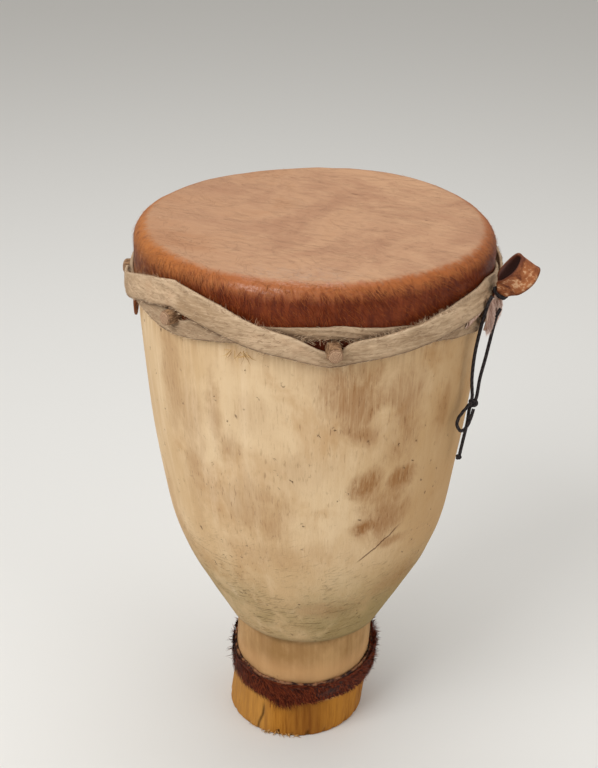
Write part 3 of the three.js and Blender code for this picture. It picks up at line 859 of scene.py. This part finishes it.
sweep = 0.25 + 0.8 * ease(hair_azimuth, -10, 30) + 1.1 * rough(roots, 0.03, 4.0)
sweep += draw.normal(0, 0.2, SKIRT_HAIRS)
flow += around(hair_azimuth + 90, 1.0, 0.0) * sweep[:, None]
hairs("skirt_hair", roots, flow, away, 7.5, 0.2, 0.34, red_hair, curl=0.12, seed=3)

# %% [markdown]
# The lacing is one long strip of grey-beige hide, wound round twice. It goes under one peg and over the
# next; with an odd number of pegs the second turn takes the opposite way and crosses over the first. The
# strip's edges are worked out peg by peg, and the outer turn is lifted wherever it lies on the inner one.

# %% The strap's way round the pegs
STRAP_THICKNESS = 2.6
STRAP_WIDTH = 22.0
STRAP_BUNCHED = 9.5
UNDER_DROP = 16.5
UNDER_TOP = 4.0
OVER_RISE = 8.0
STRAP_LEAD = 5.0
STRAP_TAIL = 22.0
STRAP_LAYER = STRAP_THICKNESS + 0.75
STRAP_BED = SKIN + 0.6
DRAPE = 8.0
OUTER_SLACK = 1.4
TURNS = len(PEGS)

stations = []
for k in range(2 * TURNS + 1):
    peg_azimuth, peg_height, _ = PEGS[k % TURNS]
    under = k % 2 == 0
    over_width = STRAP_BUNCHED if k < TURNS else STRAP_WIDTH
    low = peg_height + (-UNDER_DROP if under else OVER_RISE)
    high = peg_height + (UNDER_TOP if under else OVER_RISE + over_width)
    stations.append((peg_azimuth - 360 * (k // TURNS), low, high, under))


def strap_edges(azimuth):
    """Lower and upper edge of the strap at azimuths that run on from turn to turn."""
    azimuth = np.asarray(azimuth, float)
    low = np.full(azimuth.shape, stations[0][1])
    high = np.full(azimuth.shape, stations[0][2])
    for here, there in zip(stations, stations[1:]):
        inside = azimuth <= here[0]
        share = np.clip((here[0] - azimuth) / (here[0] - there[0]), 0, 1)
        eased = 0.65 * share + 0.35 * ease(share, 0, 1)
        low = np.where(inside, here[1] + (there[1] - here[1]) * eased, low)
        high = np.where(inside, here[2] + (there[2] - here[2]) * eased, high)
    return low, high


def strap_lift(azimuth, height):
    inner_low, inner_high = strap_edges(np.minimum(azimuth + 360, stations[0][0]))
    beyond = np.maximum(np.maximum(inner_low - height, height - inner_high), 0)
    on_inner = 1 - ease(beyond, 0.35 * DRAPE, 2.2 * DRAPE)
    outer_turn = ease(stations[0][0] - azimuth, 335, 365)
    return (STRAP_LAYER * on_inner + OUTER_SLACK) * outer_turn


print("the strap meets", len(stations), "pegs")

# %% [markdown]
# The strip is hair-on hide of uneven colour, pale along its upper edge. Along its lower edge and beside the
# turn that crosses it, it is darkened with grime and painted shade. Its mesh is a long flat tube. It is
# notched where it passes under a peg and gathered into small folds at every peg.

# %% Strap finish and mesh


def strap_finish():
    strap = Finish("grey-beige strap hide", roughness=0.85, specular=0.15)
    lie = strap.cloud(strap.stretched(60, 60, 420), detail=5, rough=0.65, warp=0.5)
    nap = strap.cloud(strap.stretched(500, 500, 1100), detail=3, rough=0.6)
    broad = strap.cloud(strap.stretched(26, 26, 26), detail=4, rough=0.6)
    lay = strap.step(lie * 0.5 + broad * 0.5, 0.36, 0.62)
    colour = strap.mix(tone(160, 132, 102), tone(208, 180, 148), lay)
    colour = strap.mix(colour, tone(112, 82, 58), strap.step(nap, 0.58, 0.76) * 0.4)
    colour = strap.mix(colour, tone(150, 104, 70), strap.step(broad, 0.54, 0.70) * 0.4)
    colour = strap.mix(colour, tone(214, 190, 160), strap.attribute("rim") * 0.55)
    # Grime and painted shade: the lower edges, and the inner turn beside the outer one, are darkened.
    colour = strap.mix(colour, tone(74, 50, 34), strap.attribute("grime_and_shade") * (0.5 + lie * 0.7))
    return strap.paint(colour, height=lie * 0.5 + nap * 0.5, depth=0.0008)


strap_hide = strap_finish()
STRAP_STEPS = 1200
ACROSS = 13
along = np.linspace(stations[0][0] + STRAP_LEAD, stations[0][0] - 720 + STRAP_TAIL, STRAP_STEPS)
low, high = strap_edges(along)
squeeze = np.zeros(STRAP_STEPS)
for k, (peg_azimuth, _, _, under) in enumerate(stations):
    past = (along - peg_azimuth) * (1 if k < TURNS else -1)
    squeeze = np.maximum(squeeze, bell(past, 9.0))
    if under:
        gap = np.where(past > 0, bell(past, 7.5), 0)
        high = high - (UNDER_TOP + PEG_RADIUS + 0.9) * np.maximum(bell(past, 2.9), 0.7 * gap)
wander = around(along, 160, 0) + UP * (along * 0.9)[:, None]
low = low + 0.8 * rough(wander, 0.05, 1.0) + 0.35 * rough(wander, 0.2, 4.0)
high = high + 0.8 * rough(wander, 0.05, 8.0) + 0.35 * rough(wander, 0.2, 6.0)


def strap_face(across, proud):
    """Points at shares across the strap, raised by proud over the layer that it lies on."""
    height = low[:, None] + (high - low)[:, None] * across
    azimuth = np.repeat(along[:, None], height.shape[1], axis=1)
    rest = wall_radius(height, STRAP_BED) + strap_lift(azimuth, height)
    folds = 1.1 * squeeze[:, None] * np.sin(across * 15.0 + azimuth * 0.35) * (0.4 + 0.6 * proud)
    return around(azimuth, rest + proud * STRAP_THICKNESS + np.maximum(folds, -0.3), height)


out_shares = np.linspace(0, 1, ACROSS)[None, :]
crown = 1 + 0.22 * np.sin(np.pi * out_shares) - 0.12 * (1 - np.sin(np.pi * out_shares)) ** 6
front = strap_face(out_shares, crown)
back = strap_face(out_shares[:, ::-1], np.zeros_like(out_shares))
strap_points = np.concatenate([front, back], axis=1)
strap_cols = 2 * ACROSS
strap_faces = tube(STRAP_STEPS, strap_cols)
rim_shade = np.concatenate([out_shares**10, np.zeros_like(out_shares)], axis=1)
# Grime and painted shade: darker beside the outer turn's edges and along every lower edge.
over_low, over_high = strap_edges(along[:, None] - 360)
clear = np.maximum(over_low - front[..., 2], front[..., 2] - over_high)
grime_and_shade = 0.25 + 0.75 * bell(clear, 3.2)
grime_and_shade = np.where(along[:, None] > stations[TURNS][0], grime_and_shade * ease(clear, -9, -2), 0)
grime_and_shade = np.maximum(grime_and_shade, 0.85 * (1 - out_shares) ** 16)
grime_and_shade = np.concatenate([grime_and_shade, np.zeros_like(grime_and_shade)], axis=1)
dress(
    "strap_hide", in_frame(strap_points), strap_faces, strap_hide, ("lacing_strap",),
    {"rim": np.repeat(rim_shade, STRAP_STEPS, axis=0), "grime_and_shade": grime_and_shade},
)

# %% [markdown]
# Short pale hair lies along the strap, thickest near its edges, where it blurs them as real hide does.

# %% Hair on the strap
strap_hair = hair_finish("strap hair", tone(150, 118, 90), tone(196, 166, 134), tone(224, 200, 170), 0.6)
STRAP_HAIRS = 7000
draw = np.random.default_rng(21)
row = draw.integers(0, STRAP_STEPS - 1, STRAP_HAIRS)
col = np.minimum((draw.beta(0.7, 0.7, STRAP_HAIRS) * ACROSS).astype(int), ACROSS - 1)
hair_roots = front[row, col]
hair_out = around(along[row], 1.0, 0.0)
hair_flow = around(along[row] - 90, 1.0, 0.0)
hair_flow[:, 2] += draw.normal(-0.1, 0.4, STRAP_HAIRS)
hairs(
    "strap_hair", hair_roots, hair_flow, hair_out, 4.2, 0.45, 0.3, strap_hair, curl=0.25, seed=5
)

# %% [markdown]
# A few long pale hairs still stand up along the strap's upper edge, many of them at the right. Torn fibres
# stick out at the left, and a torn bunch hangs under the lacing. Small things like these make it look used.

# %% Stray hairs and torn fibres
STRAY_HAIRS = 900
draw = np.random.default_rng(23)
at_right = draw.normal(38, 13, STRAY_HAIRS // 3)
all_round = draw.uniform(-297, 63, STRAY_HAIRS * 2 // 3)
stray_azimuth = np.concatenate([at_right, all_round])
_, stray_top = strap_edges(stray_azimuth - 360)
stray_radius = wall_radius(stray_top, STRAP_BED) + STRAP_LAYER + STRAP_THICKNESS
stray_roots = around(stray_azimuth, stray_radius, stray_top - draw.uniform(0.3, 3.0, STRAY_HAIRS))
stray_flow = around(stray_azimuth - 90, draw.normal(0.5, 0.5, STRAY_HAIRS), 1.0)
stray_out = around(stray_azimuth, 1.0, 0.0)
hairs(
    "stray_hair", stray_roots, stray_flow, stray_out, 7.0, 0.5, 0.22, strap_hair,
    curl=0.35, seed=13,
)

fibre_finish = hair_finish("torn fibres", tone(150, 112, 66), tone(190, 152, 98), tone(224, 192, 140), 0.7)
FIBRES = 26
fibre_azimuth = np.concatenate([draw.normal(-21, 2.2, 16), draw.normal(-89, 2.0, 10)])
fibre_level = np.concatenate([draw.normal(460, 1.5, 16), draw.normal(457, 3.0, 10)])
fibre_roots = around(fibre_azimuth, wall_radius(fibre_level, 3.2), fibre_level)
fibre_flow = around(fibre_azimuth + 90, draw.normal(0.3, 0.8, FIBRES), -0.5)
fibre_out = around(fibre_azimuth, 1.0, 0.0)
fibre_lift = np.where(fibre_azimuth < -60, 5.0, 1.6)
hairs(
    "torn_fibres", fibre_roots, fibre_flow, fibre_out, 8.0, fibre_lift, 0.7, fibre_finish,
    curl=0.9, seed=15,
)

# %% [markdown]
# The carrying loop is a strip of red-brown hide folded into a teardrop. Its inner face is painted dark as
# painted shade inside the fold, its outer face is worn and patchy, and its edges curl. Below the waist the
# two tails hang down over the lacing.

# %% Loop finish
LOOP_AZIMUTH = 66.0
LOOP_RADIUS = 170.0
LOOP_HEIGHT = 483.0
LOOP_RISE = math.radians(49)
LOOP_TWIST = math.radians(25)
LOOP_SLIDE = 3.0
LOOP_WIDTH = 20.0
LOOP_THICKNESS = 2.6
LOOP_REACH = 27.0
LOOP_HALF_DEPTH = 13.0


def loop_finish():
    loop = Finish("worn loop hide", roughness=0.62, specular=0.3)
    patchy = loop.cloud(loop.stretched(85, 85, 85), detail=6, rough=0.66, warp=0.4)
    nap = loop.cloud(loop.stretched(480, 480, 480), detail=3)
    colour = loop.mix(tone(124, 64, 30), tone(176, 108, 62), loop.step(patchy, 0.38, 0.62))
    colour = loop.mix(colour, tone(216, 172, 132), loop.step(patchy * 0.7 + nap * 0.3, 0.52, 0.60) * 0.85)
    colour = loop.mix(colour, tone(84, 34, 14), loop.step(patchy, 0.44, 0.36) * 0.7)
    # Painted shade: the loop's inner face is painted dark.
    colour = loop.mix(colour, tone(46, 15, 6), loop.attribute("inner"))
    colour = loop.mix(colour, tone(92, 42, 20), loop.attribute("rim") * 0.6)
    return loop.paint(colour, height=patchy * 0.5 + nap * 0.4, depth=0.0008)


loop_hide = loop_finish()
loop_out = around(LOOP_AZIMUTH, 1.0, 0.0)
loop_along = loop_out * math.cos(LOOP_RISE) + UP * math.sin(LOOP_RISE)
level_across = around(LOOP_AZIMUTH + 90, 1.0, 0.0)
level_strip = np.cross(loop_along, level_across)
loop_across = level_across * math.cos(LOOP_TWIST) + level_strip * math.sin(LOOP_TWIST)
loop_strip = np.cross(loop_along, loop_across)
loop_base = around(LOOP_AZIMUTH, LOOP_RADIUS, LOOP_HEIGHT)


def on_loop(x, y, z):
    """From places on the loop (along it, across its mouth, across the strip) to the drum's axis."""
    parts = np.stack(np.broadcast_arrays(x, y, z), -1)
    return loop_base + parts @ np.array([loop_along, loop_across, loop_strip])


print("loop points out to", np.round(loop_base + 40 * loop_along, 1))

# %% [markdown]
# The strip follows a teardrop drawn in the loop's own plane: narrow at the waist, where the cord gathers it,
# and round at the far end. Its edges ripple and turn outward, as hide does when it has dried in a fold.

# %% Loop strip
LOOP_STEPS = 150
half = LOOP_HALF_DEPTH - LOOP_THICKNESS / 2
knots = [(-5, -1.6), (3, -2.2), (10, -4.4), (18, -9.4), (LOOP_REACH, -half), (34, -9.5), (38.6, 0)]
turn_points = knots + [(x, -y) for x, y in knots[-2::-1]]
loop_line, _ = smooth_route([(x, y, 0.0) for x, y in turn_points], LOOP_STEPS)
loop_ahead = unit(np.gradient(loop_line, axis=0))
loop_normal = np.stack([loop_ahead[:, 1], -loop_ahead[:, 0]], -1)
gather = 0.40 + 0.60 * ease(loop_line[:, 0], 0, 13)
widths = np.linspace(-0.5, 0.5, 11)
ripple = np.sin(np.linspace(0, 9, LOOP_STEPS))[:, None] * (widths * 2)[None, :] ** 2


def loop_face(proud):
    push = proud + ripple + 1.4 * (np.abs(widths * 2) ** 3)[None, :] * ease(loop_line[:, :1], 8, 20)
    x = loop_line[:, :1] + loop_normal[:, :1] * push
    y = loop_line[:, 1:2] + loop_normal[:, 1:2] * push
    bow = LOOP_SLIDE * ease(loop_line[:, :1], 2, 14) + 1.2 * np.sin(np.linspace(0, 7, LOOP_STEPS))[:, None]
    return on_loop(x, y, LOOP_WIDTH * widths[None, :] * gather[:, None] + bow)


worn_face = loop_face(LOOP_THICKNESS / 2)
# The inner face, which carries the painted shade.
dark_face = loop_face(-LOOP_THICKNESS / 2)[:, ::-1]
loop_points = np.concatenate([worn_face, dark_face], axis=1)
loop_faces = tube(LOOP_STEPS, 2 * len(widths))
edge_tone = np.tile(np.abs(widths * 2) ** 8, 2)
loop_inner = np.tile(np.repeat([0.0, 1.0], len(widths)), (LOOP_STEPS, 1))
dress(
    "loop_strip", in_frame(loop_points), loop_faces, loop_hide, ("carrying_loop",),
    {"inner": loop_inner, "rim": np.tile(edge_tone, (LOOP_STEPS, 1))},
)

# %% [markdown]
# The two tails keep their pale, pinkish-grey hair. They flare from the waist, lie over the first peg, and
# end in a ragged edge. A slip of hide carries the hair, so that no gap shows between the slivers.

# %% Tails
TAIL_ROWS = 26
TAIL_COLS = 9
TAIL_HAIRS = 1100
tail_hide = Finish("pale tail hide", roughness=0.85, specular=0.15)
tail_streak = tail_hide.cloud(tail_hide.stretched(420, 420, 60), detail=4, rough=0.65)
tail_broad = tail_hide.cloud(tail_hide.stretched(60, 60, 60), detail=3)
tail_colour = tail_hide.mix(tone(170, 134, 116), tone(222, 194, 176), tail_hide.step(tail_streak, 0.36, 0.64))
tail_colour = tail_hide.mix(tail_colour, tone(124, 58, 40), tail_hide.step(tail_broad, 0.54, 0.68) * 0.6)
tail_hide.paint(tail_colour, height=tail_streak, depth=0.0008)


def tail_piece(name, middle, top, bottom, half_top, half_bottom, inner, seed):
    rows = np.linspace(0, 1, TAIL_ROWS)[:, None]
    cols = np.linspace(-1, 1, TAIL_COLS)[None, :]
    half_width = half_top + (half_bottom - half_top) * rows + 1.6 * np.sin(rows * math.pi)
    ragged = 1.6 * rough(around(cols[0] * 40 + seed, 20, 0), 0.3, seed)[None, :] * ease(rows, 0.7, 1)
    height = top + (bottom - top) * rows + ragged
    sway = np.degrees(half_width * cols / 168.0) + 1.5 * rows * np.sin(seed)
    bulge = inner + 2.0 * np.sin(rows * math.pi) + 0.5 * np.cos(cols * 4 + seed)
    outer_face = around(middle + sway, bulge + 2.2, height)
    inner_face = around(middle + sway, bulge, height)[:, ::-1]
    points = np.concatenate([outer_face, inner_face], axis=1)
    dress(name, in_frame(points), tube(TAIL_ROWS, 2 * TAIL_COLS), tail_hide)
    return outer_face


front_tail = tail_piece("loop_tail_front", 60.6, 482, 456, 4.8, 8.2, 167.4, 1.0)
back_tail = tail_piece("loop_tail_back", 65.8, 483, 460, 4.0, 4.6, 166.8, 2.6)
tail_hair = hair_finish("tail hair", tone(180, 134, 114), tone(226, 196, 180), tone(244, 228, 216), 0.6)
for name, face, seed in (("front_tail_hair", front_tail, 31), ("back_tail_hair", back_tail, 37)):
    draw = np.random.default_rng(seed)
    flat_face = face.reshape(-1, 3)
    roots = flat_face[draw.integers(0, len(flat_face), TAIL_HAIRS)]
    tail_out = unit(roots * (1, 1, 0))
    tail_flow = np.cross(tail_out, UP) * draw.normal(0, 0.35, TAIL_HAIRS)[:, None] - UP
    hairs(name, roots, tail_flow, tail_out, 6.0, 1.4, 0.4, tail_hair, curl=0.3, seed=seed)

# %% [markdown]
# One more end is taken to be tucked in between the strap's turns, where it shows in the gap.

# %% Tucked end
TUCK_ROWS = 24
tuck_azimuth = np.linspace(51, 61, TUCK_ROWS)[:, None]
tuck_across = np.linspace(-1, 1, 7)[None, :]
tuck_height = 469.0 + 0.9 * (tuck_azimuth - 51) + 4.6 * tuck_across
tuck_radius = wall_radius(tuck_height, STRAP_BED) + STRAP_LAYER + 1.6 * (1 - tuck_across**2)
tuck_outer = around(tuck_azimuth, tuck_radius + 2.0, tuck_height)
tuck_inner = around(tuck_azimuth, tuck_radius, tuck_height)
tuck_points = np.concatenate([tuck_outer, tuck_inner[:, ::-1]], axis=1)[:, ::-1]
tuck_faces = tube(TUCK_ROWS, tuck_points.shape[1], flip=True)
dress("loop_tail_tucked", in_frame(tuck_points), tuck_faces, tail_hide)

# %% [markdown]
# Two turns of the same cord bind the loop's waist, just above the tails.

# %% Binding round the loop's waist
turns = np.linspace(0, 2 * np.pi * 2, 120)
binding_route = on_loop(
    -0.4 + 2.8 * turns / turns[-1] + 0.4 * np.sin(turns * 1.3), 4.9 * np.cos(turns), 6.6 * np.sin(turns)
)
cord_binding = braid("cord_binding", in_frame(binding_route), 0.0022, cord_black, ("tie_cord_binding",))

# %% [markdown]
# A strip of dark fur is tied round the foot. First comes its thin hide, a ring with a ragged upper edge
# that sits higher at the back. A plain ring would look like rubber, so the fur follows in the next steps.

# %% Foot band
BAND_LOW = 46.0
BAND_RISE = 12.0
BAND_INNER = 68.1

band_hide = Finish("fur band hide", roughness=0.6, specular=0.3)
band_cloud = band_hide.cloud(band_hide.stretched(160, 160, 160), detail=4, rough=0.6)
band_colour = band_hide.mix(tone(40, 13, 6), tone(92, 40, 20), band_hide.step(band_cloud, 0.40, 0.66))
pale_rim = band_hide.attribute("rim") * band_hide.step(band_cloud, 0.42, 0.60)
band_colour = band_hide.mix(band_colour, tone(150, 104, 70), pale_rim)
band_hide.paint(band_colour, height=band_cloud, depth=0.001)


def band_rise(azimuth):
    return BAND_RISE * (1 - np.cos(np.radians(azimuth))) / 2


BAND_COLS = 220
band_azimuths = np.linspace(-180, 180, BAND_COLS, endpoint=False)
section = [(0.0, 0), (1.6, -0.8), (3.0, 3), (3.4, 10), (2.8, 17), (1.8, 21.4), (0.6, 22.2), (0.0, 21)]
band_ring = around(band_azimuths, 60, 0)
ragged_top = 1.3 * rough(band_ring, 0.09, 2.0) + 0.8 * rough(band_ring, 0.3, 5.0)
band_points = np.array([
    around(band_azimuths, BAND_INNER + r, BAND_LOW + z + band_rise(band_azimuths) + ragged_top * (z > 12))
    for r, z in section
])
band_rim = np.repeat([[0], [0], [0], [0], [0.1], [1.0], [1.0], [0.6]], BAND_COLS, axis=1)
dress(
    "foot_band_strip", in_frame(band_points), woven(len(section), BAND_COLS, wrap_rows=True, wrap_cols=True),
    band_hide, ("foot_fur_band",), {"rim": band_rim},
)

# %% [markdown]
# Thousands of curved slivers swirl along the band. Right of the front the fur is worn short and flat, and at
# the right side it is longer.

# %% Foot fur
dark_fur = hair_finish("dark foot fur", tone(46, 13, 5), tone(98, 38, 17), tone(150, 72, 38), 0.5, 0.1)
FUR_HAIRS = 9000
draw = np.random.default_rng(41)
fur_azimuth = draw.uniform(-180, 180, FUR_HAIRS)
fur_height = draw.uniform(1, 20.5, FUR_HAIRS)
fur_base = around(fur_azimuth, BAND_INNER + 3.0, BAND_LOW + fur_height + band_rise(fur_azimuth))
fur_out = around(fur_azimuth, 1.0, 0.0)
swirl = 0.9 + 1.6 * rough(fur_base, 0.04, 3.0) + 0.3 * draw.normal(0, 1, FUR_HAIRS)
fur_flow = around(fur_azimuth + 90, 1.0, 0.0) * swirl[:, None] - UP
fur_flow[:, 2] += 0.5 * rough(fur_base, 0.06, 8.0) + np.where(fur_height > 17, 1.1, 0)
fur_lift = 0.9 + 1.4 * np.abs(rough(fur_base, 0.12, 6.0)) + 3.4 * bell(turn_between(fur_azimuth, 100), 24)
worn = bell(turn_between(fur_azimuth, 24), 17)
fur_length = (8.0 + 4.0 * bell(turn_between(fur_azimuth, 105), 40)) * (1 - 0.6 * worn)
fur_lift = fur_lift * (1 - 0.75 * worn)
hairs(
    "foot_fur", fur_base, fur_flow, fur_out, fur_length, fur_lift, 0.6, dark_fur,
    curl=0.25, seed=7,
)

# %% [markdown]
# A matted tuft hangs from the band at the front left, and stiff bristles stand out at its sides.

# %% Tuft and bristles
TUFT_HAIRS = 260
tuft_azimuth = draw.normal(-17, 4.5, TUFT_HAIRS)
tuft_roots = around(tuft_azimuth, BAND_INNER + 3.0, BAND_LOW + draw.uniform(1, 9, TUFT_HAIRS))
tuft_flow = around(tuft_azimuth + 90, 0.45, -1.0) + draw.normal(0, 0.12, (TUFT_HAIRS, 3))
tuft_out = around(tuft_azimuth, 1.0, 0.0)
hairs("fur_tuft", tuft_roots, tuft_flow, tuft_out, 13.0, 0.6, 0.5, dark_fur, curl=0.2, seed=9)

BRISTLES = 700
bristle_azimuth = np.concatenate([draw.normal(98, 20, BRISTLES - 80), draw.normal(-100, 25, 80)])
bristle_height = BAND_LOW + draw.uniform(3, 25, BRISTLES) + band_rise(bristle_azimuth)
bristle_roots = around(bristle_azimuth, BAND_INNER + 2.6, bristle_height)
bristle_out = around(bristle_azimuth, 1.0, 0.0)
bristle_flow = bristle_out * draw.uniform(0.2, 0.9, BRISTLES)[:, None] + draw.normal(0, 0.5, (BRISTLES, 3))
bristle_flow[:, 2] += 0.35
bristle_side = np.roll(bristle_out, 1, axis=1)
hairs("fur_bristles", bristle_roots, bristle_flow, bristle_side, 8.5, 0.6, 0.7, dark_fur, seed=19)

# %% [markdown]
# A plain pale floor and soft light from big panels show the shapes without hard shadows. The key light is
# high at the left, as in the photograph, so the right of the bowl falls gently darker.

# %% Floor and light
floor_mesh = bpy.data.meshes.new("pale_floor")
floor_mesh.from_pydata([(-30, -30, 0), (30, -30, 0), (30, 30, 0), (-30, 30, 0)], [], [(0, 1, 2, 3)])
floor = bpy.data.objects.new("pale_floor", floor_mesh)
bpy.context.scene.collection.objects.link(floor)
pale = Finish("pale floor", roughness=0.9, specular=0.1)
pale.paint(tone(228, 228, 226))
floor.data.materials.append(pale.material)

world = bpy.data.worlds.new("soft_room")
world.use_nodes = True
world.node_tree.nodes["Background"].inputs["Color"].default_value = tone(242, 238, 232)
world.node_tree.nodes["Background"].inputs["Strength"].default_value = 0.55
bpy.context.scene.world = world
bpy.context.scene.view_settings.view_transform = "Standard"

LIGHTS = [  # name, place, size, power
    ("key_panel", (-1.4, -1.4, 2.1), 1.5, 38),
    ("fill_panel", (1.7, -1.2, 1.3), 1.6, 9),
    ("top_panel", (0.1, 0.5, 2.6), 1.8, 20),
]
for name, place, size, power in LIGHTS:
    panel = bpy.data.objects.new(name, bpy.data.lights.new(name, "AREA"))
    panel.data.size = size
    panel.data.energy = power
    panel.location = place
    panel.rotation_euler = (Vector((0, 0, 0.3)) - Vector(place)).to_track_quat("-Z", "Y").to_euler()
    bpy.context.scene.collection.objects.link(panel)
print("lights:", len(LIGHTS))
